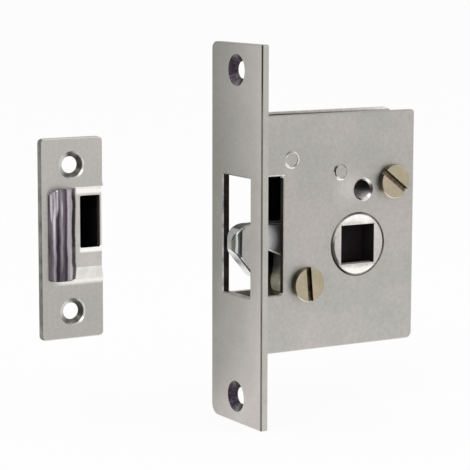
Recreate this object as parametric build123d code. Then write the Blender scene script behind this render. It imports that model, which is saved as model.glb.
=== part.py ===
from build123d import *
import os
from math import atan2, cos, degrees, hypot, radians, sin

# Sliding door lock: a mortice hook lock with its keep.
# Millimetres, X into the door, Z up, Y across the door's thickness. The near side of the
# case is towards -Y. The sizes here count X from the forend's front face, and the files
# have their origin at the centre of its back face, where its screw holes end.

# Forend
forend_height = 76.0
forend_width = 19.4
forend_thickness = 1.5
forend_near_corner = 0.4
forend_far_corner_top = 1.5
forend_far_corner_bottom = 2.2
forend_edge = 0.3
forend_screw_end = 5.3
forend_screw_hole = 3.4
forend_screw_sink = 6.3
window_height = 23.8
window_width = 10.6
window_z = -0.2
window_edge = 0.25

# Case
case_depth = 38.1
case_height = 47.5
case_thickness = 9.4
plate_thickness = 1.2
plate_edge = 0.18
cover_corner_top = 0.6
cover_corner_bottom = 1.3
back_corner = 1.8
cutout_depth = 6.7
cutout_corner = 0.6
lug_height = 6.0
lug_thickness = 1.2
lug_setback = 17.0
lug_bend = 0.5

# Screw pillars that carry the cover
pillar_diameter = 4.4
pillar_spigot = 2.8
pillar_hole_depth = 5.2
upper_pillar_setback = 5.3
upper_pillar_drop = 14.45
lower_pillar_x = 13.6
lower_pillar_z = -10.3

# Cheese-head cover screws
screw_shank = 2.5
screw_shank_length = 5.6
screw_head = 7.0
screw_head_height = 1.35
screw_head_edge = 0.3
screw_slot_width = 1.15
screw_slot_depth = 0.9
upper_slot_tilt = -38.0
lower_slot_tilt = 95.0

# Spring pins, with reduced ends that sit flush in both plates
spring_pin_diameter = 4.0
spring_pin_end = 3.0
spring_pin_edge = 0.25
front_pin_x = 10.0
front_pin_z = 14.9
rear_pin_x = 21.7
rear_pin_z = 11.9

# Hollow bush for the furniture's through bolt
bush_x = 27.1
bush_z = 8.0
bush_outer = 4.8
bush_bore = 3.75
bush_mouth = 4.5
bush_mouth_depth = 0.4

# Follower with a square hole and two crank cheeks
hub_x = 25.9
hub_z = -3.1
hub_diameter = 13.0
hub_rim_chamfer = 0.45
spindle_square = 8.0
spindle_web = 0.5
cheek_radius = 8.0
cheek_thickness = 1.3
crank_radius = 9.3
crank_end = 2.2
crank_rest_angle = 267.5
hub_throw = 77.0
notch_radius = 1.1
notch_depth = 0.5

# Crank pin
crank_pin_diameter = 2.6

# Hook bolt
hook_thickness = 4.0
hook_turn = 30.0
nose_x = -1.7
nose_top_z = 2.1
nose_corner = 4.0
nose_low_z = -2.6
nose_edge = 0.6
barb_tip_x = 3.3
barb_tip_z = -8.6
barb_tip_width = 0.9
barb_tip_round = 0.4
throat_front_x = 4.3
throat_roof_z = -2.4
throat_rear_x = 9.9
throat_rear_z = -4.85
throat_lean = 0.1
hook_back_x = 15.5
slot_wall = 1.8
eye_radius = 2.5

# Detent spring, a bent leaf
spring_thickness = 0.4
spring_width = 4.0
spring_wrap = 235.0
spring_bend = 1.2
spring_roll = 0.7
spring_angle = 108.0

# Keep
keep_x = -36.0
keep_z = 1.9
keep_height = 38.4
keep_width = 13.0
keep_thickness = 1.2
keep_corner = 0.9
keep_edge = 0.3
keep_screw_end = 5.2
keep_screw_hole = 3.2
keep_screw_sink = 5.3
form_height = 17.6
form_z = 0.95
lip_height = 1.9
lip_start = -5.15
lip_crest = -1.87
lip_flat = 1.04
lip_lean = 2.06
lip_shoulder = 2.6
lip_round = 0.5
lip_corner_top = 2.2
lip_corner_bottom = 0.7
floor_depth = 0.6
floor_wall = 0.4
floor_slope = 2.2
form_round = 0.5
keep_hole_x = 4.05
keep_hole_z = 3.0
keep_hole_width = 4.2
keep_hole_height = 10.0
keep_hole_corner = 0.3

# Dust box behind the keep's hole
dust_box_wall = 0.35
dust_box_edge = 0.3
dust_box_depth = 10.5
dust_box_drop = 3.0

# Clearances
shaft_clearance = 0.05
slot_clearance = 0.3
side_clearance = 0.1
hub_clearance = 0.3
spring_clearance = 0.1
detent_clearance = 0.12

# Worked-out places
forend_screw_spacing = forend_height - 2 * forend_screw_end
keep_screw_spacing = keep_height - 2 * keep_screw_end
half_case = case_thickness / 2
half_gap = half_case - plate_thickness
case_rear = forend_thickness + case_depth
case_top = case_height / 2
upper_pillar_x = case_rear - upper_pillar_setback
upper_pillar_z = case_top - upper_pillar_drop
cutout_rear = forend_thickness + cutout_depth
window_top = window_z + window_height / 2
window_bottom = window_z - window_height / 2
cheek_face = half_gap - side_clearance
cheek_inner = cheek_face - cheek_thickness
barrel_radius = hub_diameter / 2
slot_radius = pillar_diameter / 2 + slot_clearance
lip_end = lip_crest + lip_flat
floor_start = lip_end + lip_lean


def turned(x, z, angle):
    """A vector in the X, Z plane turned anticlockwise as the near side sees it."""
    a = radians(angle)
    return (x * cos(a) - z * sin(a), x * sin(a) + z * cos(a))


def crank_place(share):
    """The crank pin's axis after a share of the follower's throw."""
    dx, dz = turned(crank_radius, 0, crank_rest_angle - hub_throw * share)
    return (hub_x + dx, hub_z + dz)


def pillar_in_hook(share):
    """Where the lower pillar stands against the hook, in the hook's place at rest."""
    crank_x, crank_z = crank_place(share)
    dx, dz = turned(lower_pillar_x - crank_x, lower_pillar_z - crank_z, -hook_turn * share)
    rest_x, rest_z = crank_place(0)
    return (rest_x + dx, rest_z + dz)


def slab(profile, y_low, y_high):
    """A profile drawn in X, Z, as thick as the span from y_low to y_high."""
    return extrude(Plane.XZ.offset(-y_high) * profile, amount=y_high - y_low)


def disc(x, z, radius, y_low, y_high):
    return slab(Pos(x, z) * Circle(radius), y_low, y_high)


def rounded_plate(x_low, x_high, z_low, z_high, corners):
    """A rectangle in X, Z with a radius of its own at each named corner."""
    outline = Pos((x_low + x_high) / 2, (z_low + z_high) / 2) * Rectangle(x_high - x_low, z_high - z_low)
    for corner, radius in corners.items():
        x_side, z_side = corner
        points = outline.vertices().sort_by(Axis.X)
        pair = points[2:] if x_side == "rear" else points[:2]
        pair = pair.sort_by(Axis.Y)
        outline = fillet(pair[1] if z_side == "top" else pair[0], radius)
    return outline


def make_forend():
    blank = Pos(forend_thickness / 2, 0, 0) * Box(forend_thickness, forend_width, forend_height)
    near_corners, far_corners = blank.edges().filter_by(Axis.X).group_by(Axis.Y)
    far_bottom, far_top = far_corners.sort_by(Axis.Z)
    blank = fillet(near_corners, forend_near_corner)
    far_edge = blank.edges().filter_by(Axis.X).sort_by_distance(far_top.center())[0]
    blank = fillet(far_edge, forend_far_corner_top)
    far_edge = blank.edges().filter_by(Axis.X).sort_by_distance(far_bottom.center())[0]
    blank = fillet(far_edge, forend_far_corner_bottom)
    blank = fillet(blank.faces().sort_by(Axis.X)[0].edges(), forend_edge)
    blank -= Pos(forend_thickness / 2, 0, window_z) * Box(2 * forend_thickness, window_width, window_height)
    rim = blank.faces().sort_by(Axis.X)[0].inner_wires().edges()
    blank = chamfer(rim, window_edge)
    for side in (-1, 1):
        centre = Pos(0, 0, side * forend_screw_spacing / 2) * Rot(0, 90, 0)
        sink_depth = (forend_screw_sink - forend_screw_hole) / 2
        blank -= centre * Pos(0, 0, sink_depth / 2) * Cone(
            forend_screw_sink / 2, forend_screw_hole / 2, sink_depth)
        blank -= centre * Cylinder(forend_screw_hole / 2, 4 * forend_thickness)
    return blank


def case_outline(rear_top, rear_bottom):
    """A case plate with the notch beside the forend's window."""
    outline = rounded_plate(forend_thickness, case_rear, -case_top, case_top,
                            {("rear", "top"): rear_top, ("rear", "bottom"): rear_bottom})
    notch = rounded_plate(forend_thickness - cutout_depth, cutout_rear, window_bottom, window_top,
                          {("rear", "top"): cutout_corner, ("rear", "bottom"): cutout_corner})
    return outline - notch


def plate_holes(outline, pillar_hole):
    """Cuts the holes that both plates share."""
    outline -= Pos(hub_x, hub_z) * Circle(barrel_radius + shaft_clearance)
    outline -= Pos(bush_x, bush_z) * Circle(bush_outer / 2)
    for x, z in ((front_pin_x, front_pin_z), (rear_pin_x, rear_pin_z)):
        outline -= Pos(x, z) * Circle(spring_pin_end / 2)
    for x, z in ((upper_pillar_x, upper_pillar_z), (lower_pillar_x, lower_pillar_z)):
        outline -= Pos(x, z) * Circle(pillar_hole / 2)
    return outline


def make_cover_plate():
    outline = case_outline(cover_corner_top, cover_corner_bottom)
    plate = slab(outline, -half_case, -half_gap)
    rim = plate.faces().sort_by(Axis.Y)[0].outer_wire().edges()
    plate = chamfer(rim.filter_by(lambda e: e.center().X > forend_thickness + 0.01), plate_edge)
    cutter = plate_holes(Rectangle(4 * case_rear, 4 * case_top), screw_shank + 4 * shaft_clearance)
    return plate & slab(cutter, -half_case, -half_gap)


def make_back_plate():
    outline = plate_holes(case_outline(back_corner, back_corner), pillar_spigot)
    plate = slab(outline, half_gap, half_case)
    for side in (-1, 1):
        lug_z = side * (lug_setback + lug_height / 2)
        lug = Pos(forend_thickness + lug_thickness / 2, half_case / 2 - half_gap / 2, lug_z) * Box(
            lug_thickness, half_case + half_gap, lug_height)
        bend_edge = lug.edges().filter_by(Axis.Z).sort_by(Axis.Y)[-2:].sort_by(Axis.X)[0]
        lug = fillet(bend_edge, lug_bend)
        plate = plate - Pos(forend_thickness, half_case, lug_z) * Box(2 * lug_bend, 2 * lug_bend, lug_height)
        plate += lug
    return plate


def make_pillar(x, z):
    body = disc(x, z, pillar_diameter / 2, -half_gap, half_gap)
    body += disc(x, z, pillar_spigot / 2, half_gap, half_case)
    hole_radius = screw_shank / 2 + shaft_clearance
    return body - disc(x, z, hole_radius, -half_gap, -half_gap + pillar_hole_depth)


def make_cover_screw(x, z, tilt):
    head_top = -half_case - screw_head_height
    head = disc(x, z, screw_head / 2, head_top, -half_case)
    head = fillet(head.edges().sort_by(Axis.Y)[0], screw_head_edge)
    slot_profile = Pos(x, z) * Rot(0, 0, tilt) * Rectangle(2 * screw_head, screw_slot_width)
    head -= slab(slot_profile, head_top - screw_slot_depth, head_top + screw_slot_depth)
    shank_end = -half_case + screw_shank_length
    return head + disc(x, z, screw_shank / 2, -half_case, shank_end)


def make_spring_pin(x, z):
    pin = disc(x, z, spring_pin_end / 2, -half_case, half_case)
    pin = chamfer(pin.edges(), spring_pin_edge)
    return pin + disc(x, z, spring_pin_diameter / 2, -half_gap, half_gap)


def make_bush():
    tube = disc(bush_x, bush_z, bush_outer / 2, -half_case, half_case)
    tube -= disc(bush_x, bush_z, bush_bore / 2, -half_case, half_case)
    for side in (-1, 1):
        mouth = Pos(bush_x, side * (half_case - bush_mouth_depth / 2), bush_z) * Rot(-side * 90, 0, 0)
        tube -= mouth * Cone(bush_bore / 2, bush_mouth / 2, bush_mouth_depth)
    return tube


def make_hub():
    barrel = disc(hub_x, hub_z, barrel_radius, -half_case, half_case)
    barrel = chamfer(barrel.edges(), hub_rim_chamfer)
    crank_x, crank_z = crank_place(0)
    cheek = Pos(hub_x, hub_z) * Circle(cheek_radius)
    arm_middle = Pos((hub_x + crank_x) / 2, (hub_z + crank_z) / 2) * Rot(0, 0, crank_rest_angle)
    cheek += arm_middle * Rectangle(crank_radius, 2 * crank_end)
    cheek += Pos(crank_x, crank_z) * Circle(crank_end)
    cheek -= Pos(crank_x, crank_z) * Circle(crank_pin_diameter / 2)
    for throw in (0, hub_throw):
        dx, dz = turned(cheek_radius + notch_radius - notch_depth, 0, spring_angle + throw)
        cheek -= Pos(hub_x + dx, hub_z + dz) * Circle(notch_radius)
    hub = barrel + slab(cheek, cheek_inner, cheek_face) + slab(cheek, -cheek_face, -cheek_inner)
    square = Pos(hub_x, hub_z) * Rectangle(spindle_square, spindle_square)
    hub -= slab(square, -case_thickness, -spindle_web / 2)
    return hub - slab(square, spindle_web / 2, case_thickness)


def make_crank_pin():
    x, z = crank_place(0)
    return disc(x, z, crank_pin_diameter / 2, -cheek_face, cheek_face)


def hook_slot():
    """The slot that the lower pillar runs in, from the hook's path over the throw."""
    steps = [index / 6 for index in range(7)]
    places = [pillar_in_hook(share) for share in steps]
    slot = trace(Plane.XY * Spline(*places), 2 * slot_radius)
    for x, z in (places[0], places[-1]):
        slot += Pos(x, z) * Circle(slot_radius)
    return slot


def make_hook():
    crank_x, crank_z = crank_place(0)
    wall_radius = slot_radius + slot_wall
    rounds = [Pos(x, z) * Circle(wall_radius) for x, z in
              (pillar_in_hook(0), pillar_in_hook(0.5), pillar_in_hook(1))]
    rounds.append(Pos(crank_x, crank_z) * Circle(eye_radius))
    outline_edges = [edge for shape in rounds for edge in shape.edges()]
    plate = make_hull(outline_edges)
    arm = Polygon((throat_rear_x, throat_rear_z), (throat_rear_x - throat_lean, lower_pillar_z),
                  (lower_pillar_x, lower_pillar_z), (hub_x - cheek_radius, lower_pillar_z),
                  (hub_x - cheek_radius, hub_z + cheek_radius / 4), (hook_back_x, nose_top_z),
                  (throat_front_x, nose_top_z), (throat_front_x, throat_roof_z), align=None)
    head = Polygon((nose_x, nose_top_z), (nose_x, nose_low_z), (barb_tip_x, barb_tip_z),
                   (barb_tip_x + barb_tip_width, barb_tip_z), (throat_front_x, throat_roof_z),
                   (throat_front_x, nose_top_z), align=None)
    tip_corners = head.vertices().sort_by(Axis.Y)[:2]
    head = fillet(tip_corners, barb_tip_round)
    head = fillet(head.vertices().group_by(Axis.X)[0].sort_by(Axis.Y)[-1], nose_corner)
    profile = plate + arm + head
    profile -= hook_slot()
    profile -= Pos(crank_x, crank_z) * Circle(crank_pin_diameter / 2 + shaft_clearance)
    profile -= Pos(hub_x, hub_z) * Circle(barrel_radius + hub_clearance)
    half_hook = hook_thickness / 2
    body = slab(profile, -half_hook, half_hook)
    plan = Pos(nose_x + half_hook, 0) * Circle(half_hook)
    plan += Pos(nose_x + half_hook + case_rear, 0) * Rectangle(2 * case_rear, hook_thickness)
    hook = body & extrude(Plane.XY.offset(-case_top) * plan, amount=case_height)
    nose_rim = hook.edges().filter_by(
        lambda e: e.center().X < throat_front_x - barb_tip_round / 2 and abs(e.center().Y) > half_hook / 2)
    return fillet(nose_rim.filter_by(Axis.Z, reverse=True), nose_edge)


def make_detent_spring():
    """A leaf curled round the front pin, under the rear pin, with a rolled end over the follower."""
    centre_line = spring_pin_diameter / 2 + spring_clearance + spring_thickness / 2
    run_x = rear_pin_x - front_pin_x
    run_z = rear_pin_z - front_pin_z
    run = hypot(run_x, run_z)
    along = (run_x / run, run_z / run)
    under = (along[1], -along[0])
    eye_end = (front_pin_x + under[0] * centre_line, front_pin_z + under[1] * centre_line)
    under_angle = degrees(atan2(under[1], under[0]))
    eye = CenterArc((front_pin_x, front_pin_z), centre_line, under_angle, -spring_wrap)
    roll_distance = cheek_radius + detent_clearance + spring_thickness / 2 + spring_roll
    dx, dz = turned(roll_distance, 0, spring_angle)
    roll_x = hub_x + dx
    roll_z = hub_z + dz
    drop_x = roll_x - spring_roll
    corner = (drop_x, eye_end[1] + along[1] / along[0] * (drop_x - eye_end[0]))
    leaf = FilletPolyline(eye_end, corner, (drop_x, roll_z), radius=spring_bend)
    roll = CenterArc((roll_x, roll_z), spring_roll, 180, spring_wrap)
    strip = trace(Plane.XY * (eye + leaf + roll), spring_thickness)
    return slab(strip, -spring_width / 2, spring_width / 2)


def keep_lip(inset):
    """The keep's raised lip in plan, drawn in from its outer face by an inset."""
    foot = floor_depth + keep_thickness
    left = lip_start + inset
    right = lip_end - inset
    top = -lip_height + inset
    foot_lean = lip_lean * (lip_height + foot) / (lip_height + floor_depth)
    outline = Polygon((left, top), (right, top), (right + foot_lean, foot), (left, foot), align=None)
    corners = outline.vertices().group_by(Axis.Y)[0].sort_by(Axis.X)
    outline = fillet(corners[0], lip_shoulder - inset)
    return fillet(outline.vertices().group_by(Axis.Y)[0].sort_by(Axis.X)[-1], lip_round)


def keep_recess():
    """The sunk floor's space, with a steep wall above and a long slope below."""
    half = form_height / 2
    rise = floor_depth + lip_height + keep_thickness
    side = Polygon((-half, -rise), (half, -rise), (half, 0), (half - floor_wall, floor_depth),
                   (-half + floor_slope, floor_depth), (-half, 0), align=None)
    side = fillet(side.vertices().group_by(Axis.Y)[-1], form_round)
    along = extrude(Plane(origin=(0, 0, 0), x_dir=(0, 0, 1), z_dir=(-1, 0, 0)) * side,
                    amount=keep_width, both=True)
    slant = lip_lean * (lip_height + rise) / (floor_depth + lip_height)
    plan = Polygon((floor_start - slant, -rise), (keep_width, -rise), (keep_width, floor_depth),
                   (floor_start, floor_depth), align=None)
    return along & extrude(Plane.XY.offset(-half) * plan, amount=form_height)


def lip_front():
    """The lip's outline from the front, with its left corners rounded."""
    half = form_height / 2
    front = Polygon((lip_start, -half), (keep_width, -half), (keep_width, half),
                    (lip_start, half), align=None)
    left_corners = front.vertices().group_by(Axis.X)[0].sort_by(Axis.Y)
    front = fillet(left_corners[0], lip_corner_bottom)
    front = fillet(front.vertices().sort_by(Axis.X)[:2].sort_by(Axis.Y)[-1], lip_corner_top)
    return slab(front, -keep_height, keep_height)


def make_keep_box():
    """A thin dark box that closes the space behind the keep's hole."""
    front = floor_depth + keep_thickness
    top = keep_z + keep_hole_z + keep_hole_height / 2
    bottom = top - keep_hole_height - dust_box_drop
    middle = Pos(keep_x + keep_hole_x, (top + bottom) / 2)
    inside = middle * Rectangle(keep_hole_width, top - bottom)
    outside = middle * Rectangle(keep_hole_width + 2 * dust_box_wall, top - bottom + 2 * dust_box_wall)
    box = slab(outside, front, front + dust_box_depth)
    box = fillet(box.edges().filter_by(Axis.Y) + box.faces().sort_by(Axis.Y)[-1].edges(), dust_box_edge)
    return box - slab(inside, front, front + dust_box_depth - dust_box_wall)


def make_keep():
    outline = Pos(keep_x, keep_z) * RectangleRounded(keep_width, keep_height, keep_corner)
    plate = slab(outline, 0, keep_thickness)
    plate = fillet(plate.faces().sort_by(Axis.Y)[0].edges(), keep_edge)
    middle = Pos(keep_x, 0, keep_z + form_z)
    half = form_height / 2
    lip = extrude(Plane.XY.offset(-half) * keep_lip(0), amount=form_height)
    lip = fillet(lip.edges().group_by(Axis.Y)[0].filter_by(Axis.X), lip_round)
    lip &= lip_front()
    hollow = extrude(Plane.XY.offset(-half + keep_thickness) * keep_lip(keep_thickness),
                     amount=form_height - 2 * keep_thickness)
    tray_width = keep_width / 2 - floor_start + keep_thickness
    tray = Pos(keep_width / 2 - tray_width / 2, floor_depth / 2 + keep_thickness / 2, 0) * Box(
        tray_width, floor_depth + keep_thickness, form_height + keep_thickness)
    keep = plate + middle * lip + middle * tray
    keep -= middle * hollow
    keep -= middle * keep_recess()
    hole = Pos(keep_x + keep_hole_x, keep_z + keep_hole_z) * RectangleRounded(
        keep_hole_width, keep_hole_height, keep_hole_corner)
    keep -= slab(hole, -keep_height, keep_height)
    sink_depth = (keep_screw_sink - keep_screw_hole) / 2
    for side in (-1, 1):
        centre = Pos(keep_x, 0, keep_z + side * keep_screw_spacing / 2) * Rot(-90, 0, 0)
        keep -= centre * Pos(0, 0, sink_depth / 2) * Cone(
            keep_screw_sink / 2, keep_screw_hole / 2, sink_depth)
        keep -= centre * Cylinder(keep_screw_hole / 2, 4 * keep_thickness)
    return keep


if __name__ == "__main__":
    os.makedirs("parts", exist_ok=True)
    parts = {
        "forend": make_forend(),
        "cover_plate": make_cover_plate(),
        "back_plate": make_back_plate(),
        "upper_pillar": make_pillar(upper_pillar_x, upper_pillar_z),
        "lower_pillar": make_pillar(lower_pillar_x, lower_pillar_z),
        "upper_cover_screw": make_cover_screw(upper_pillar_x, upper_pillar_z, upper_slot_tilt),
        "lower_cover_screw": make_cover_screw(lower_pillar_x, lower_pillar_z, lower_slot_tilt),
        "front_spring_pin": make_spring_pin(front_pin_x, front_pin_z),
        "rear_spring_pin": make_spring_pin(rear_pin_x, rear_pin_z),
        "fixing_bush": make_bush(),
        "hub": make_hub(),
        "crank_pin": make_crank_pin(),
        "hook_bolt": make_hook(),
        "detent_spring": make_detent_spring(),
        "keep": make_keep(),
        "keep_box": make_keep_box(),
    }
    for name, shape in parts.items():
        export_step(Pos(-forend_thickness, 0, 0) * shape, f"parts/{name}.step")
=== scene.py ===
import math
from collections import namedtuple

import bpy
from mathutils import Matrix, Vector

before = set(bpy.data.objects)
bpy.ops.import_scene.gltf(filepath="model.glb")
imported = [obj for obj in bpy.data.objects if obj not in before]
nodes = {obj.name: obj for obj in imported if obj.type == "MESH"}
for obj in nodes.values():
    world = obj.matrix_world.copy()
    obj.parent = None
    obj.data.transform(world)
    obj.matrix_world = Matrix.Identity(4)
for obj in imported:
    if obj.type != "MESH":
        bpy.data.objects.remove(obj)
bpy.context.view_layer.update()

# Sliding door lock with its keep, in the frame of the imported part. Sizes and places are in millimetres, with
# X counted from the forend's front face, but for the lamps and the floor's size, which are in metres.

MM = 0.001
Place = namedtuple("Place", "x y z")
scene = bpy.context.scene
forend_thickness = 1.5


def at(x, y, z):
    """A point on the part as metres in the frame."""
    return Vector(((x - forend_thickness) * MM, y * MM, z * MM))


# Node helpers

def linear(red, green, blue):
    """A colour given as it looks on a screen, 0 to 255, as the renderer's linear values."""
    out = []
    for value in (red, green, blue):
        share = value / 255
        out.append(share / 12.92 if share <= 0.04045 else ((share + 0.055) / 1.055) ** 2.4)
    return (*out, 1.0)


def new_material(name, viewport):
    """A node material with its tree and shader, and the flat colour that a viewport shows."""
    material = bpy.data.materials.new(name)
    material.use_nodes = True
    material.diffuse_color = viewport
    tree = material.node_tree
    return material, tree, tree.nodes["Principled BSDF"]


def put(tree, socket, value):
    """Links a socket to another, or sets it to a number."""
    if isinstance(value, bpy.types.NodeSocket):
        tree.links.new(value, socket)
    else:
        socket.default_value = value


def calc(tree, operation, first, second=0.0):
    """One arithmetic node on numbers or sockets."""
    node = tree.nodes.new("ShaderNodeMath")
    node.operation = operation
    put(tree, node.inputs[0], first)
    put(tree, node.inputs[1], second)
    return node.outputs[0]


def place_of(tree):
    """The place on the part that is being shaded, as three sockets."""
    coordinates = tree.nodes.new("ShaderNodeTexCoord")
    split = tree.nodes.new("ShaderNodeSeparateXYZ")
    tree.links.new(coordinates.outputs["Object"], split.inputs[0])
    x, y, z = (calc(tree, "DIVIDE", socket, MM) for socket in split.outputs)
    return Place(calc(tree, "ADD", x, forend_thickness), y, z)


def angle_round(tree, centre, axes="xz"):
    """The angle round a centre in degrees, -180 to 180, in the plane of two axes."""
    place = place_of(tree)
    across, along = (calc(tree, "SUBTRACT", getattr(place, axis), middle)
                     for axis, middle in zip(axes, centre))
    return calc(tree, "DEGREES", calc(tree, "ARCTAN2", along, across))


def distance(tree, centre):
    """The distance from a centre in the XZ plane."""
    place = place_of(tree)
    across = calc(tree, "POWER", calc(tree, "SUBTRACT", place.x, centre[0]), 2.0)
    along = calc(tree, "POWER", calc(tree, "SUBTRACT", place.z, centre[1]), 2.0)
    return calc(tree, "SQRT", calc(tree, "ADD", across, along))


def spread(tree, value, from_low, from_high, low=0.0, high=1.0):
    """A value mapped from one range to another, held at its ends."""
    node = tree.nodes.new("ShaderNodeMapRange")
    tree.links.new(value, node.inputs["Value"])
    node.inputs["From Min"].default_value = from_low
    node.inputs["From Max"].default_value = from_high
    node.inputs["To Min"].default_value = low
    node.inputs["To Max"].default_value = high
    return node.outputs["Result"]


def band(tree, value, rise, fall):
    """One between two slopes, each given as (start, end), and nought outside them."""
    return calc(tree, "MULTIPLY", spread(tree, value, *rise), spread(tree, value, fall[1], fall[0]))


def calmed(tree, gain, calm):
    """A gain that fades to one where calm is one."""
    return calc(tree, "ADD", calc(tree, "MULTIPLY", gain, calc(tree, "SUBTRACT", 1.0, calm)), calm)


def noise(tree, scale, low=0.0, high=1.0, stretch=(1.0, 1.0, 1.0), detail=3.0):
    """Cloudy noise on the part, mapped to the range low to high. The scale is per millimetre."""
    joined = tree.nodes.new("ShaderNodeCombineXYZ")
    for socket, value, factor in zip(joined.inputs, place_of(tree), stretch):
        put(tree, socket, calc(tree, "MULTIPLY", value, factor))
    cloud = tree.nodes.new("ShaderNodeTexNoise")
    cloud.inputs["Scale"].default_value = scale
    cloud.inputs["Detail"].default_value = detail
    tree.links.new(joined.outputs[0], cloud.inputs["Vector"])
    return spread(tree, cloud.outputs["Fac"], 0.3, 0.7, low, high)


def tones(tree, value, stops):
    """A colour that follows a value through stops of (value, screen colour), straight between them."""
    low, high = stops[0][0], stops[-1][0]
    node = tree.nodes.new("ShaderNodeValToRGB")
    ramp = node.color_ramp
    while len(ramp.elements) < len(stops):
        ramp.elements.new(0.5)
    for element, (stop, colour) in zip(ramp.elements, stops):
        element.position = (stop - low) / (high - low)
        element.color = linear(*colour)
    tree.links.new(spread(tree, value, low, high), node.inputs["Fac"])
    return node.outputs["Color"]


def ring_tone(centre, stops):
    """A colour that follows the angle round a centre through stops of (degrees, screen colour)."""
    return lambda tree: tones(tree, angle_round(tree, centre), stops)


def mixed(tree, share, first, second):
    """A blend of two colours, given as sockets or screen colours."""
    node = tree.nodes.new("ShaderNodeMix")
    node.data_type = "RGBA"
    put(tree, node.inputs["Factor"], share)
    for socket, colour in ((node.inputs[6], first), (node.inputs[7], second)):
        put(tree, socket, linear(*colour) if isinstance(colour, tuple) else colour)
    return node.outputs[2]


def shade(tree, colour, amount):
    """A colour times a number."""
    node = tree.nodes.new("ShaderNodeVectorMath")
    node.operation = "SCALE"
    put(tree, node.inputs[0], colour)
    put(tree, node.inputs["Scale"], amount)
    return node.outputs[0]


def metal(name, colour_of, rough=(0.34, 0.42), grain=0.04, flat=(176, 172, 166), metallic=1.0):
    """A finish with the colour that colour_of makes. It hardly shines where there is no metal in it."""
    material, tree, shader = new_material(name, linear(*flat))
    shader.inputs["Metallic"].default_value = metallic
    if metallic == 0.0:
        shader.inputs["Specular IOR Level"].default_value = 0.1
    colour = shade(tree, colour_of(tree), noise(tree, 1.6, 1.0 - grain, 1.0 + grain))
    tree.links.new(colour, shader.inputs["Base Color"])
    tree.links.new(noise(tree, 0.5, rough[0], rough[1]), shader.inputs["Roughness"])
    return material


def two_tone(first, second, scale=0.09):
    """Soft clouds of two close tones."""
    return lambda tree: mixed(tree, noise(tree, scale), first, second)


# Finishes, with painted shade and painted highlights among them

def satin_tone(tree):
    """Greenish and pinkish clouds, with painted light that makes it a little lighter low down."""
    clouds = mixed(tree, noise(tree, 0.09), (176, 176, 170), (188, 182, 178))
    return shade(tree, clouds, spread(tree, place_of(tree).z, -24.0, 6.0, 1.1, 0.98))


satin_nickel = metal("satin_nickel", satin_tone, rough=(0.46, 0.54), grain=0.055)
bright_nickel = metal("bright_nickel", two_tone((205, 200, 196), (218, 213, 209)), rough=(0.14, 0.22))
screw_metal = metal("screw_metal", two_tone((168, 161, 134), (184, 168, 150), 0.3), rough=(0.3, 0.4),
                    grain=0.06)
hook_steel = metal("hook_steel", two_tone((200, 200, 202), (214, 213, 214)), rough=(0.12, 0.18))
inner_steel = metal("inner_steel", two_tone((120, 116, 108), (140, 135, 126)), rough=(0.35, 0.5))
spring_steel = metal("spring_steel", two_tone((90, 92, 100), (110, 112, 120)), rough=(0.3, 0.4))
# Painted shade: a near-black finish that hardly shines, put on recess walls where shade falls.
painted_shade_recess = metal("painted_shade_recess", two_tone((26, 20, 24), (44, 38, 38)), rough=(0.5, 0.6), grain=0.15,
                    flat=(30, 28, 28), metallic=0.0)
# Painted highlight: a light finish for rounded edges, as if they caught the light.
painted_edge_highlight = metal("painted_edge_highlight", two_tone((214, 208, 200), (226, 222, 216)), rough=(0.2, 0.3))

black_plastic, _, plastic_shader = new_material("black_plastic", linear(24, 22, 24))
plastic_shader.inputs["Base Color"].default_value = linear(20, 17, 20)
plastic_shader.inputs["Roughness"].default_value = 0.6
plastic_shader.inputs["Specular IOR Level"].default_value = 0.2

finishes = {
    "forend": satin_nickel,
    "cover_plate": satin_nickel,
    "back_plate": satin_nickel,
    "upper_pillar": inner_steel,
    "lower_pillar": inner_steel,
    "upper_cover_screw": screw_metal,
    "lower_cover_screw": screw_metal,
    "front_spring_pin": satin_nickel,
    "rear_spring_pin": satin_nickel,
    "fixing_bush": bright_nickel,
    "hub": bright_nickel,
    "crank_pin": inner_steel,
    "hook_bolt": hook_steel,
    "detent_spring": spring_steel,
    "keep": satin_nickel,
    "keep_box": black_plastic,
}
for node_name, finish in finishes.items():
    mesh = nodes[node_name].data
    mesh.materials.clear()
    mesh.materials.append(finish)


# How much of a face's unit normal lies along an axis, from squarely on it down to barely.
squarely, facing, halfway, leaning, slightly, barely = 0.95, 0.9, 0.5, 0.3, 0.2, 0.1


def paint(node_name, material, wanted):
    """Gives the faces that wanted(x, y, z, normal) picks another finish, over any earlier one."""
    mesh = nodes[node_name].data
    mesh.materials.append(material)
    slot = len(mesh.materials) - 1
    for face in mesh.polygons:
        x, y, z = (value / MM for value in face.center)
        if wanted(x + forend_thickness, y, z, face.normal):
            face.material_index = slot


# Forend

forend_near_y = -9.7
edge_reach, edge_lean = 0.4, 0.12
forend_hole_z, forend_sink_radius = 32.7, 3.15
window_side, window_top = 5.3, 11.7


def forend_tone(tree):
    """Painted light and shade on the forend's front: darker and greener towards the far edge, and lighter
    towards both ends.
    """
    place = place_of(tree)
    level = calc(tree, "ADD", calc(tree, "MULTIPLY", place.y, -2.5), noise(tree, 0.12, 154.0, 162.0))
    for low, high, gain in ((10.0, 30.0, 6.0), (-8.0, -24.0, 16.0), (-26.0, -38.0, 24.0)):
        level = calc(tree, "ADD", level, spread(tree, place.z, low, high, 0.0, gain))
    return tones(tree, level, [(110, (112, 114, 104)), (140, (143, 143, 135)), (165, (168, 165, 159)),
                               (200, (204, 198, 193))])


def forend_side_tone(tree):
    """The forend's near side, with painted light that makes it lighter low down."""
    clouds = mixed(tree, noise(tree, 0.12), (178, 177, 170), (190, 186, 180))
    return shade(tree, clouds, spread(tree, place_of(tree).z, -36.0, 10.0, 1.1, 1.0))


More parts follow.
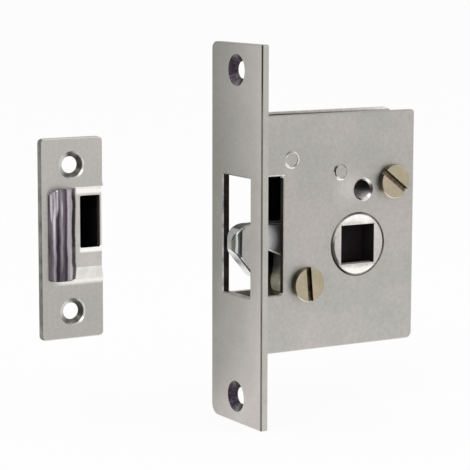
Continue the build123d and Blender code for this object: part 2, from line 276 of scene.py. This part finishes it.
def line_tone(tree):
    """Painted shade on the near front edge: dark near the upper end and grey below."""
    clouds = mixed(tree, noise(tree, 0.15), (104, 101, 95), (126, 122, 116))
    return mixed(tree, spread(tree, place_of(tree).z, 24.0, 31.0), clouds, (66, 63, 58))


# Painted light and shade on the forend's front, near side and near front edge.
forend_side = metal("forend_side", forend_side_tone, grain=0.04)
forend_front = metal("forend_front", forend_tone, grain=0.045)
forend_line = metal("forend_line", line_tone, rough=(0.4, 0.5))
paint("forend", forend_side, lambda x, y, z, n: n.y < -halfway and y < forend_near_y + 0.5)
paint("forend", forend_front, lambda x, y, z, n: n.x < -halfway)
paint("forend", forend_line, lambda x, y, z, n: max(n.x, n.y) < -edge_lean
      and max(x, y - forend_near_y) < edge_reach)


def sink_tone(side):
    """A turned countersink with painted reflections: pale above and below, dark elsewhere, with lilac streaks
    on its far side.
    """
    def colour(tree):
        angle = angle_round(tree, (0.0, side * forend_hole_z), "yz")
        turn = calc(tree, "ABSOLUTE", calc(tree, "ADD", angle, -4.0 * side))
        base = tones(tree, turn, [(0, (58, 50, 60)), (40, (66, 58, 66)), (62, (92, 88, 92)),
                                  (95, (146, 144, 146)), (118, (112, 110, 110)), (150, (44, 42, 44))])
        streaks = noise(tree, 1.0, 0.5, 1.7, (0.25, 1.9, 1.9), 4.0)
        return shade(tree, base, calmed(tree, streaks, spread(tree, turn, 60.0, 95.0)))
    return colour


# Painted reflections in the forend's two countersinks.
for side, name in ((1, "upper_sink"), (-1, "lower_sink")):
    sink = metal(name, sink_tone(side), rough=(0.25, 0.35), grain=0.12)
    paint("forend", sink, lambda x, y, z, n: n.x < halfway and x > 0.02
          and math.hypot(y, z - side * forend_hole_z) < forend_sink_radius)

# Painted shade on the window's side walls, painted light on its floor, and a mottled painted reflection on the
# rounded edge of its far side.
window_wall = metal("window_wall", two_tone((30, 26, 26), (66, 62, 58), 0.5), rough=(0.35, 0.45), grain=0.2)
window_floor = metal("window_floor", two_tone((112, 112, 100), (160, 158, 146), 0.3), rough=(0.35, 0.45))
window_rim = metal("window_rim", two_tone((120, 122, 126), (206, 204, 204), 0.5), rough=(0.25, 0.35))
paint("forend", window_wall, lambda x, y, z, n: abs(n.y) > facing and abs(y) < window_side + 0.5
      and abs(z) < window_top + 0.3 and x > 0.2)
paint("forend", window_floor, lambda x, y, z, n: n.z > facing and abs(y) < window_side + 0.5
      and z < 0 and x > 0.2)
paint("forend", window_rim, lambda x, y, z, n: n.x < -leaning and abs(n.y) > leaning
      and 0 < y < window_side + 0.3 and abs(z) < window_top + 0.8)


# Case

case_top, case_rear = 23.75, 39.6
inner_y, outer_y = 3.5, 4.7
notch_rear, notch_top = 8.2, window_top
front_pin, rear_pin = (10.0, 14.9), (21.7, 11.9)
pin_radius = 1.5
# Painted shade on the rear wall of the cover plate's notch, and painted highlights on the notch's rounded
# edges and on the plate's rear and lower rounded edges.
paint("cover_plate", painted_shade_recess, lambda x, y, z, n: n.x < -facing and abs(x - notch_rear) < 0.5)
paint("cover_plate", painted_edge_highlight, lambda x, y, z, n: -0.98 < n.y < -barely and n.z < leaning
      and x < notch_rear + 0.3 and -notch_top - 0.8 < z < notch_top + 0.3)
paint("cover_plate", painted_edge_highlight, lambda x, y, z, n: -squarely < n.y < -slightly
      and (x > case_rear - 0.6 or z < -case_top + 0.35))


def inside_tone(tree):
    """Painted shade and light inside the case: dark, with light olive low down, grey in the gap along the top
    and a bright painted highlight at its edge.
    """
    place = place_of(tree)
    low = mixed(tree, spread(tree, place.z, -12.5, -7.0), (164, 160, 144), (40, 37, 36))
    gap = mixed(tree, spread(tree, place.x, 8.0, 30.0), (78, 73, 67), (176, 172, 167))
    upper = mixed(tree, spread(tree, place.z, 20.0, 21.0), low, gap)
    edge = spread(tree, place.z, case_top - 0.5, case_top - 0.35)
    return mixed(tree, edge, upper, (236, 232, 228))


painted_inside_light_and_shade = metal("painted_inside_light_and_shade", inside_tone, rough=(0.45, 0.55), grain=0.1)
# Painted shade and light on the inner faces of both plates, and a painted highlight on the back plate's top
# edge.
paint("back_plate", painted_inside_light_and_shade, lambda x, y, z, n: n.y < -facing and y < inner_y + 0.1)
paint("back_plate", painted_edge_highlight, lambda x, y, z, n: n.z > leaning and z > case_top - 0.4)
paint("cover_plate", painted_inside_light_and_shade, lambda x, y, z, n: n.y > facing)

# Painted highlights and painted shade round the ends of the two spring pins.
faint_ring = metal("faint_ring", ring_tone(front_pin, [
    (-180, (226, 223, 218)), (-120, (252, 249, 245)), (-40, (214, 211, 206)), (60, (248, 244, 240)),
    (130, (206, 203, 198)), (180, (226, 223, 218))]))
deep_ring = metal("deep_ring", ring_tone(rear_pin, [
    (-180, (40, 38, 36)), (-145, (84, 80, 78)), (-128, (255, 252, 248)), (-95, (252, 248, 244)),
    (-70, (232, 228, 223)), (100, (226, 222, 217)), (135, (70, 67, 64)), (180, (40, 38, 36))]))
pin_rings = (("front_spring_pin", faint_ring, front_pin), ("rear_spring_pin", deep_ring, rear_pin))


def arc_share(tree, centre, middle, half_width):
    """One on an arc of the plate just outside a pin, round the middle angle, and nought elsewhere."""
    turn = calc(tree, "ABSOLUTE", calc(tree, "SUBTRACT", angle_round(tree, centre), middle))
    ring = band(tree, distance(tree, centre), (pin_radius - 0.02, pin_radius + 0.02),
                (pin_radius + 0.2, pin_radius + 0.34))
    return calc(tree, "MULTIPLY", ring, spread(tree, turn, half_width, half_width - 15.0))


def cover_tone(tree):
    """The satin cover with painted light: a painted sheen beside the bush, a painted highlight line over the
    notch, and painted highlight and shade arcs round the two pins.
    """
    colour = satin_tone(tree)
    glow = spread(tree, distance(tree, (23.6, 8.4)), 4.6, 0.5, 0.0, 0.6)
    colour = mixed(tree, glow, colour, (212, 207, 202))
    # Painted highlight and shade arcs round the two pins.
    for centre, middle, half_width, painted_arc_tone in (
            (rear_pin, 160.0, 38.0, (72, 69, 66)), (rear_pin, -95.0, 36.0, (255, 252, 248)),
            (front_pin, 20.0, 60.0, (226, 222, 217)), (front_pin, -110.0, 50.0, (240, 236, 231)),
            (front_pin, 120.0, 30.0, (128, 125, 121))):
        colour = mixed(tree, arc_share(tree, centre, middle, half_width), colour, painted_arc_tone)
    place = place_of(tree)
    line = band(tree, place.z, (notch_top + 0.1, notch_top + 0.16), (notch_top + 0.28, notch_top + 0.38))
    over = calc(tree, "MULTIPLY", line, spread(tree, place.x, notch_rear + 0.3, notch_rear + 0.1))
    return mixed(tree, over, colour, (240, 233, 230))


cover_face = metal("cover_face", cover_tone, rough=(0.46, 0.54), grain=0.055)
paint("cover_plate", cover_face, lambda x, y, z, n: n.y < -squarely)
# Painted light and shade on the pins' rounded ends and on the walls of their holes in the cover plate.
for node_name, ring, centre in pin_rings:
    paint(node_name, ring, lambda x, y, z, n: -squarely < n.y < -slightly and y < -inner_y)
    paint("cover_plate", ring, lambda x, y, z, n: abs(n.y) < barely and y < -inner_y
          and math.dist((x, z), centre) < pin_radius + 0.1)


# Follower

hub_x, hub_z = 25.9, -3.1
hub_radius = 6.5
half_square = 4.0
bush_x, bush_z = 27.1, 8.0
bore_radius = 1.875


def hub_face_tone(tree):
    """A bright polished face with painted reflections, brightest above and below the square and darker towards
    its sides, with a painted dark rim low on its left.
    """
    place = place_of(tree)
    height = calc(tree, "ADD", calc(tree, "SUBTRACT", place.z, hub_z), noise(tree, 0.5, -0.5, 0.5))
    column = tones(tree, height, [(-5.9, (255, 252, 250)), (-5.0, (252, 248, 244)), (-4.3, (206, 201, 197)),
                                  (-2, (202, 197, 192)), (2, (212, 207, 202)), (4.1, (214, 211, 202)),
                                  (4.9, (248, 243, 240)), (5.6, (255, 250, 246))])
    sideways = calc(tree, "SUBTRACT", place.x, hub_x)
    # Painted shade towards both sides of the face.
    left = spread(tree, sideways, -5.8, -3.6, 0.8, 1.02)
    right = spread(tree, sideways, 3.6, 5.4, 1.0, 0.9)
    face = shade(tree, column, calc(tree, "MULTIPLY", left, right))
    # Painted shade on the rim low on the left.
    painted_shade_corner = calc(tree, "MULTIPLY", spread(tree, sideways, -4.0, -4.8), spread(tree, height, 2.0, 0.5))
    rim = calc(tree, "MULTIPLY", painted_shade_corner, spread(tree, distance(tree, (hub_x, hub_z)), 5.5, 5.68))
    return mixed(tree, rim, face, (84, 81, 78))


hub_face = metal("hub_face", hub_face_tone, rough=(0.2, 0.3), grain=0.09)
# Painted highlights and shade round the hub's rounded rim.
hub_ring = metal("hub_ring", ring_tone((hub_x, hub_z), [
    (-180, (60, 58, 56)), (-150, (40, 38, 38)), (-118, (80, 78, 76)), (-95, (214, 210, 206)),
    (-40, (200, 196, 192)), (0, (134, 130, 126)), (35, (170, 166, 162)), (62, (210, 206, 202)),
    (85, (130, 126, 122)), (105, (126, 122, 118)), (130, (170, 166, 161)), (155, (96, 93, 90)),
    (180, (60, 58, 56))]), rough=(0.3, 0.4), grain=0.15, metallic=0.3)
paint("hub", hub_face, lambda x, y, z, n: abs(n.y) > squarely and abs(y) > outer_y - 0.2)
paint("hub", hub_ring, lambda x, y, z, n: slightly < abs(n.y) < squarely and abs(y) > outer_y - 0.7)
# Painted light and shade on the wall of the cover plate's hole round the hub.
hub_seat = metal("hub_seat", ring_tone((hub_x, hub_z), [
    (-180, (40, 38, 38)), (-135, (40, 38, 38)), (-105, (130, 126, 122)), (-80, (214, 210, 206)),
    (60, (240, 236, 232)), (82, (120, 116, 112)), (105, (112, 108, 104)), (130, (180, 176, 172)),
    (158, (80, 77, 74)), (180, (40, 38, 38))]), rough=(0.3, 0.4), grain=0.15)
paint("cover_plate", hub_seat, lambda x, y, z, n: abs(n.y) < barely and y < -inner_y
      and math.hypot(x - hub_x, z - hub_z) < hub_radius + 0.2)
# Painted shade on the walls of the hub's square hole.
paint("hub", painted_shade_recess, lambda x, y, z, n: max(abs(x - hub_x), abs(z - hub_z)) < half_square + 0.02)


def sill_tone(tree):
    """The floor of the square, painted light grey at its mouth and painted shade, black, farther in."""
    return mixed(tree, spread(tree, place_of(tree).y, -3.4, -2.4), (166, 162, 154), (26, 22, 24))


hub_sill = metal("hub_sill", sill_tone, rough=(0.5, 0.6), metallic=0.0)
paint("hub", hub_sill, lambda x, y, z, n: n.z > facing and abs(x - hub_x) < half_square
      and -half_square - 0.02 < z - hub_z < 0)


def bore_tone(tree):
    """Painted shade and light in the bore: black above, and lighter towards the bottom."""
    return tones(tree, calc(tree, "SUBTRACT", place_of(tree).z, bush_z), [
        (-1.9, (244, 242, 240)), (-1.3, (226, 224, 222)), (-0.8, (170, 168, 166)), (-0.4, (84, 82, 80)),
        (0.1, (26, 24, 24)), (1.9, (14, 12, 12))])


bush_bore = metal("bush_bore", bore_tone, rough=(0.5, 0.6), metallic=0.0)
# Painted highlights at the upper and lower right of the bush's mouth, and painted shade at its right.
bush_mouth = metal("bush_mouth", ring_tone((bush_x, bush_z), [
    (-180, (150, 147, 142)), (-110, (196, 192, 187)), (-80, (244, 240, 236)), (-45, (240, 236, 232)),
    (-25, (104, 100, 98)), (0, (52, 48, 48)), (22, (104, 100, 98)), (45, (252, 248, 244)),
    (85, (240, 236, 232)), (110, (172, 168, 163)), (180, (150, 147, 142))]), rough=(0.2, 0.3))
paint("fixing_bush", bush_bore, lambda x, y, z, n: abs(n.y) < barely
      and math.hypot(x - bush_x, z - bush_z) < bore_radius + 0.1)
paint("fixing_bush", bush_mouth, lambda x, y, z, n: abs(n.y) > slightly)


# Cover screws

screws = (("upper_cover_screw", (34.3, 9.3)), ("lower_cover_screw", (13.6, -10.3)))
head_top, head_radius = -6.05, 3.5
slot_depth = 0.9
for node_name, centre in screws:
    # Painted shade on the left of each head with a painted highlight low on its left, and painted shade in the
    # slot, darkest on its walls.
    head_side = metal(f"{node_name}_side", ring_tone(centre, [
        (-180, (74, 70, 60)), (-155, (104, 99, 86)), (-140, (228, 220, 204)), (-120, (255, 250, 238)),
        (-85, (246, 238, 222)), (-55, (184, 176, 156)), (60, (170, 162, 142)), (100, (160, 152, 132)),
        (125, (92, 87, 75)), (150, (52, 49, 41)), (180, (74, 70, 60))]), rough=(0.3, 0.4))
    slot_wall = metal(f"{node_name}_slot", two_tone((46, 38, 22), (80, 70, 50), 0.7),
                      rough=(0.4, 0.5), grain=0.2)
    slot_floor = metal(f"{node_name}_slot_floor", two_tone((80, 68, 50), (134, 121, 101), 0.7),
                       rough=(0.4, 0.5), grain=0.3)
    paint(node_name, head_side, lambda x, y, z, n: n.y > -0.93 and y < -outer_y + 0.1
          and math.dist((x, z), centre) > head_radius - 0.5)
    paint(node_name, slot_wall, lambda x, y, z, n: abs(n.y) < barely and y < -outer_y
          and math.dist((x, z), centre) < head_radius - 0.1)
    paint(node_name, slot_floor, lambda x, y, z, n: n.y < -facing and y > head_top + slot_depth / 2)


# Hook

throat_front, throat_rear = 4.3, 9.9
throat_roof_z, throat_rear_z = -2.4, -4.85
throat_low_z = -12.0
crown_z, crown_rear = 1.45, 12.0
nose_rear, cheek_front = 0.35, 0.9
flat_start_y = -1.4


def nose_tone(tree):
    """Painted reflection bands across the polished bull nose, from its near side to its far side."""
    sway = noise(tree, 0.6, -0.1, 0.1, (1.0, 1.0, 0.3))
    return tones(tree, calc(tree, "ADD", place_of(tree).y, sway), [
        (-2.0, (84, 88, 92)), (-1.84, (84, 88, 92)), (-1.74, (212, 212, 208)), (-1.58, (198, 198, 192)),
        (-1.4, (96, 96, 92)), (-1.0, (124, 124, 118)), (-0.6, (172, 174, 168)), (2.0, (160, 162, 157))])


def throat_tone(tree):
    """Painted shade and light in the throat: black up high, olive grey low down where light falls in."""
    height = calc(tree, "ADD", place_of(tree).z, noise(tree, 0.5, -0.8, 0.8))
    return tones(tree, height, [(-11.5, (216, 212, 190)), (-9.0, (150, 148, 128)), (-7.0, (60, 56, 50)),
                                (-5.0, (24, 20, 22))])


def face_tone(tree):
    """The near face: satin at the nose, a painted pool of light that falls to grey, and a painted highlight
    line over the throat.
    """
    place = place_of(tree)
    fall = (throat_roof_z - throat_rear_z) / (throat_rear - throat_front)
    drop = calc(tree, "MULTIPLY", calc(tree, "SUBTRACT", place.x, throat_front), -fall)
    above = calc(tree, "SUBTRACT", place.z, calc(tree, "ADD", drop, throat_roof_z))
    patch = tones(tree, distance(tree, (5.5, -1.2)), [
        (0.5, (216, 219, 222)), (1.6, (208, 210, 211)), (2.6, (182, 183, 183)), (3.2, (134, 133, 132)),
        (3.8, (106, 104, 102)), (7.0, (116, 114, 112))])
    inner = mixed(tree, band(tree, above, (-0.3, -0.1), (0.2, 0.42)), patch, (255, 246, 238))
    satin = mixed(tree, noise(tree, 0.4), (172, 168, 163), (182, 177, 173))
    return mixed(tree, spread(tree, place.x, 2.4, 5.4), satin, inner)


# Painted reflections, light and shade on the hook: a painted dark line along its lower near edges, painted
# shade on its upper faces and crown, and a painted white reflection underneath.
hook_nose = metal("hook_nose", nose_tone, rough=(0.22, 0.3), grain=0.06)
hook_rim = metal("hook_rim", two_tone((58, 56, 56), (92, 88, 86), 0.5), rough=(0.3, 0.4))
hook_top = metal("hook_top", two_tone((150, 154, 145), (190, 192, 185), 0.4), rough=(0.2, 0.28), grain=0.08)
hook_crown = metal("hook_crown", two_tone((66, 61, 55), (84, 79, 73), 0.4), rough=(0.4, 0.5), metallic=0.0)
hook_under = metal("hook_under", two_tone((248, 248, 248), (255, 255, 255), 0.4), rough=(0.28, 0.34))
hook_face = metal("hook_face", face_tone, rough=(0.35, 0.42), metallic=0.35)
hook_throat = metal("hook_throat", throat_tone, rough=(0.45, 0.55), grain=0.15, metallic=0.4)
paint("hook_bolt", hook_face, lambda x, y, z, n: n.y < -facing)
paint("hook_bolt", hook_top, lambda x, y, z, n: x < throat_front and n.z > leaning)
paint("hook_bolt", hook_under, lambda x, y, z, n: x < throat_front and n.z < -leaning)
paint("hook_bolt", hook_nose, lambda x, y, z, n: x < nose_rear and abs(n.z) < 0.55 and n.x < -0.05)
paint("hook_bolt", hook_rim, lambda x, y, z, n: x < throat_rear and slightly < -n.y < 0.8 and n.z < -leaning)
paint("hook_bolt", hook_crown, lambda x, y, z, n: x < crown_rear and n.z > leaning and z > crown_z
      and y > flat_start_y - 0.01)
paint("hook_bolt", hook_face, lambda x, y, z, n: cheek_front < x < throat_front and n.y < -leaning
      and n.z > leaning)
paint("hook_bolt", hook_throat, lambda x, y, z, n: x > throat_rear - 1.4 and n.x < -leaning
      and throat_low_z < z < throat_roof_z - 0.1)


# Keep

keep_x, keep_z = -36.0, 1.9
keep_half_width, keep_half_height = 6.5, 19.2
keep_thickness = 1.2
keep_screw_z, keep_sink_radius = 14.0, 2.65
form_top, form_bottom = 11.65, -5.95
form_half_height = 8.8
floor_depth = 0.6
lip_right, lip_foot = -0.83, 1.23
hole_left, hole_right, hole_middle_z = 1.95, 6.15, 3.0


def in_keep(x):
    """X counted from the keep's middle."""
    return x - keep_x


def lip_tone(tree):
    """Painted reflections on the polished lip: upright lilac streaks, a light band along its flat, thin
    glints, and darker low down.
    """
    place = place_of(tree)
    across = calc(tree, "SUBTRACT", place.x, keep_x)
    swayed = calc(tree, "ADD", across, noise(tree, 0.22, -0.2, 0.2, (0.4, 0.1, 0.5)))
    base = tones(tree, swayed, [
        (-5.0, (122, 115, 122)), (-4.75, (92, 85, 92)), (-4.45, (122, 115, 122)), (-4.28, (176, 169, 176)),
        (-4.1, (158, 151, 158)), (-3.95, (70, 62, 70)), (-3.6, (50, 42, 50)), (-3.35, (116, 109, 116)),
        (-3.1, (134, 127, 134)), (-2.75, (98, 90, 98)), (-2.35, (62, 54, 62)), (-2.05, (78, 70, 78)),
        (-1.9, (176, 169, 176)), (-1.45, (180, 173, 180))])
    streaks = noise(tree, 0.9, 0.5, 1.6, (1.8, 0.2, 0.16), 4.0)
    calm = spread(tree, across, -2.0, -1.9)
    low = spread(tree, place.z, -6.5, 6.0, 0.72, 1.1)
    streaked = shade(tree, base, calc(tree, "MULTIPLY", calmed(tree, streaks, calm), low))
    thread = spread(tree, noise(tree, 0.55, 0.0, 1.0, (2.6, 0.2, 0.12), 2.0), 0.78, 0.92, 0.0, 0.75)
    glint = calc(tree, "MULTIPLY", thread, calc(tree, "SUBTRACT", 1.0, calm))
    return mixed(tree, glint, streaked, (218, 212, 218))


def flank_tone(tree):
    """Painted reflections on the steep right side of the lip: the light band's edge, a ragged dark stripe and
    a light foot.
    """
    across = calc(tree, "SUBTRACT", place_of(tree).x, keep_x)
    ragged = calc(tree, "ADD", across, noise(tree, 0.3, -0.3, 0.3, (0.2, 0.2, 0.6)))
    return tones(tree, ragged, [
        (-1.45, (196, 189, 196)), (-0.75, (192, 185, 192)), (-0.5, (40, 34, 38)), (0.35, (18, 14, 16)),
        (0.6, (84, 78, 80)), (0.85, (206, 202, 204)), (1.25, (214, 210, 210))])


def floor_tone(tree):
    """The sunk floor, with painted highlights where it turns up into the wall above and just below the hole.
    """
    place = place_of(tree)
    clouds = mixed(tree, noise(tree, 0.3), (190, 186, 182), (206, 201, 197))
    top = mixed(tree, spread(tree, place.z, form_top - 1.7, form_top - 1.1), clouds, (254, 252, 249))
    under = calc(tree, "MULTIPLY", band(tree, place.z, (-1.1, -0.85), (0.1, 0.2)),
                 spread(tree, place.x, keep_x + 1.7, keep_x + 2.1))
    return mixed(tree, under, top, (255, 254, 250))


def plate_tone(tree):
    """The keep's satin face, with painted light that makes it lighter towards its upper end, and a painted
    highlight just below the pressed form.
    """
    place = place_of(tree)
    clouds = mixed(tree, noise(tree, 0.12), (180, 179, 174), (188, 183, 178))
    even = shade(tree, clouds, spread(tree, place.z, -10.0, 16.0, 0.97, 1.06))
    below = band(tree, place.z, (form_bottom - 1.1, form_bottom - 0.5), (form_bottom, form_bottom + 0.3))
    glow = calc(tree, "MULTIPLY", below, spread(tree, place.x, keep_x - 4.2, keep_x - 2.0))
    return mixed(tree, glow, even, (246, 243, 239))


# Painted highlights on the walls of the pressed form and on the hole's lower wall, painted highlights on the
# plate's rounded rim, and painted shade on its left side.
keep_lip = metal("keep_lip", lip_tone, rough=(0.2, 0.3), grain=0.06)
keep_flank = metal("keep_flank", flank_tone, rough=(0.35, 0.45), grain=0.06, metallic=0.2)
keep_light = metal("keep_light", two_tone((236, 232, 228), (254, 252, 249), 0.35), rough=(0.1, 0.16))
keep_floor = metal("keep_floor", floor_tone, rough=(0.3, 0.4))
keep_plate = metal("keep_plate", plate_tone, grain=0.055)
keep_side = metal("keep_side", two_tone((92, 94, 86), (142, 142, 134), 0.35), rough=(0.35, 0.45))
paint("keep", keep_plate, lambda x, y, z, n: n.y < -facing and abs(y) < 0.02)
paint("keep", keep_floor, lambda x, y, z, n: n.y < -halfway and y > floor_depth - 0.1)
paint("keep", keep_light, lambda x, y, z, n: n.z > facing and y > floor_depth - 0.1
      and hole_left - 0.1 < in_keep(x) < hole_right + 0.1 and z < hole_middle_z)
paint("keep", keep_light, lambda x, y, z, n: abs(n.z) > 0.15 and -0.02 < y < keep_thickness + 0.1
      and in_keep(x) > lip_right and abs(z - keep_z) < form_half_height + 1.0)
paint("keep", keep_lip, lambda x, y, z, n: y < -0.02 and in_keep(x) < lip_right + 0.05)
paint("keep", keep_flank, lambda x, y, z, n: n.x > halfway and n.y < -slightly
      and lip_right + 0.2 < in_keep(x) < lip_foot + 0.1 and abs(z - keep_z) < form_half_height + 0.7)
paint("keep", painted_edge_highlight, lambda x, y, z, n: -squarely < n.y < -slightly
      and (abs(in_keep(x)) > keep_half_width - 0.3 or abs(z - keep_z) > keep_half_height - 0.3))
paint("keep", keep_side, lambda x, y, z, n: n.x < -0.25 and in_keep(x) < -keep_half_width + 0.5)


def keep_sink_tone(side):
    """A countersink, dark with painted shade on its right side and as light as the plate elsewhere."""
    def colour(tree):
        centre = (keep_x, keep_z + side * keep_screw_z)
        round_tone = ring_tone(centre, [
            (-180, (206, 202, 197)), (-130, (190, 187, 182)), (-85, (132, 130, 124)), (-55, (80, 78, 73)),
            (0, (62, 60, 56)), (45, (80, 78, 73)), (75, (160, 157, 152)), (120, (214, 210, 205)),
            (180, (206, 202, 197))])(tree)
        rim = spread(tree, distance(tree, centre), 2.3, 2.42)
        return mixed(tree, rim, round_tone, (214, 211, 206))
    return colour


for side, name in ((1, "keep_upper_sink"), (-1, "keep_lower_sink")):
    sink = metal(name, keep_sink_tone(side), rough=(0.22, 0.32), grain=0.12)
    paint("keep", sink, lambda x, y, z, n: n.y < halfway and y > 0.02
          and math.hypot(in_keep(x), z - keep_z - side * keep_screw_z) < keep_sink_radius + 0.05)


# Camera, solved from the photo. The focal length is in pixels of the photo.

view_azimuth = math.radians(-30.573)
view_elevation = math.radians(8.279)
view_roll = math.radians(0.116)
view_distance = 396.56
target = at(-0.254, 0.0, 0.037)
photo_width = 470
focal_pixels = 1999.5
sensor_width = 36.0
back = Vector((math.sin(view_azimuth) * math.cos(view_elevation),
               -math.cos(view_azimuth) * math.cos(view_elevation),
               math.sin(view_elevation)))
right = (-back).cross(Vector((0, 0, 1))).normalized()
up = right.cross(-back)
camera_data = bpy.data.cameras.new("camera")
camera_data.sensor_width = sensor_width
camera_data.lens = focal_pixels / photo_width * sensor_width
camera_data.clip_start = 0.01
camera_data.clip_end = 20.0
camera = bpy.data.objects.new("camera", camera_data)
scene.collection.objects.link(camera)
tilted_right = right * math.cos(view_roll) + up * math.sin(view_roll)
tilted_up = up * math.cos(view_roll) - right * math.sin(view_roll)
turned = Matrix((tilted_right, tilted_up, back)).transposed().to_4x4()
camera.matrix_world = Matrix.Translation(target + back * view_distance * MM) @ turned
scene.camera = camera


# Floor and world

def white_to_camera(tree, surface, share):
    """Mixes a share of plain white into a shader, only for what the camera and reflections see."""
    path = tree.nodes.new("ShaderNodeLightPath")
    seen = calc(tree, "MAXIMUM", path.outputs["Is Camera Ray"], path.outputs["Is Glossy Ray"])
    seen = calc(tree, "MAXIMUM", seen, path.outputs["Is Transmission Ray"])
    white = tree.nodes.new("ShaderNodeEmission")
    white.inputs["Strength"].default_value = 1.0
    blend = tree.nodes.new("ShaderNodeMixShader")
    tree.links.new(calc(tree, "MULTIPLY", seen, share), blend.inputs["Fac"])
    tree.links.new(surface, blend.inputs[1])
    tree.links.new(white.outputs[0], blend.inputs[2])
    return blend.outputs[0]


floor_z = -38.1
floor_size = 6.0
bpy.ops.mesh.primitive_plane_add(size=floor_size, location=(0, 0, floor_z * MM))
floor = bpy.context.object
floor.name = "floor"
floor_material, floor_tree, floor_shader = new_material("floor_white", (0.9, 0.9, 0.9, 1.0))
floor_shader.inputs["Base Color"].default_value = (0.95, 0.95, 0.95, 1.0)
floor_shader.inputs["Roughness"].default_value = 0.9
lit = white_to_camera(floor_tree, floor_shader.outputs[0], 0.9)
floor_tree.links.new(lit, floor_tree.nodes["Material Output"].inputs["Surface"])
floor.data.materials.append(floor_material)

world = bpy.data.worlds.new("studio")
scene.world = world
world.use_nodes = True
world_tree = world.node_tree
background = world_tree.nodes["Background"]
background.inputs["Color"].default_value = (0.80, 0.80, 0.80, 1.0)
background.inputs["Strength"].default_value = 1.0
path = world_tree.nodes.new("ShaderNodeLightPath")
plain_white = world_tree.nodes.new("ShaderNodeBackground")
plain_white.inputs["Color"].default_value = (1.0, 1.0, 1.0, 1.0)
world_blend = world_tree.nodes.new("ShaderNodeMixShader")
world_tree.links.new(path.outputs["Is Camera Ray"], world_blend.inputs["Fac"])
world_tree.links.new(background.outputs[0], world_blend.inputs[1])
world_tree.links.new(plain_white.outputs[0], world_blend.inputs[2])
world_tree.links.new(world_blend.outputs[0], world_tree.nodes["World Output"].inputs["Surface"])


def soft_lamp(name, place, width, height, power):
    """A large soft lamp, turned to the lock, with its place and size in metres and its power in watts."""
    lamp_data = bpy.data.lights.new(name, "AREA")
    lamp_data.shape = "RECTANGLE"
    lamp_data.size = width
    lamp_data.size_y = height
    lamp_data.energy = power
    lamp = bpy.data.objects.new(name, lamp_data)
    lamp.location = place
    lamp.rotation_euler = (-Vector(place)).to_track_quat("-Z", "Y").to_euler()
    scene.collection.objects.link(lamp)


soft_lamp("key_lamp", place=(-0.45, -0.35, 0.5), width=0.5, height=0.4, power=1.2)
soft_lamp("fill_lamp", place=(0.5, -0.4, 0.3), width=0.5, height=0.5, power=0.6)

scene.view_settings.view_transform = "Standard"
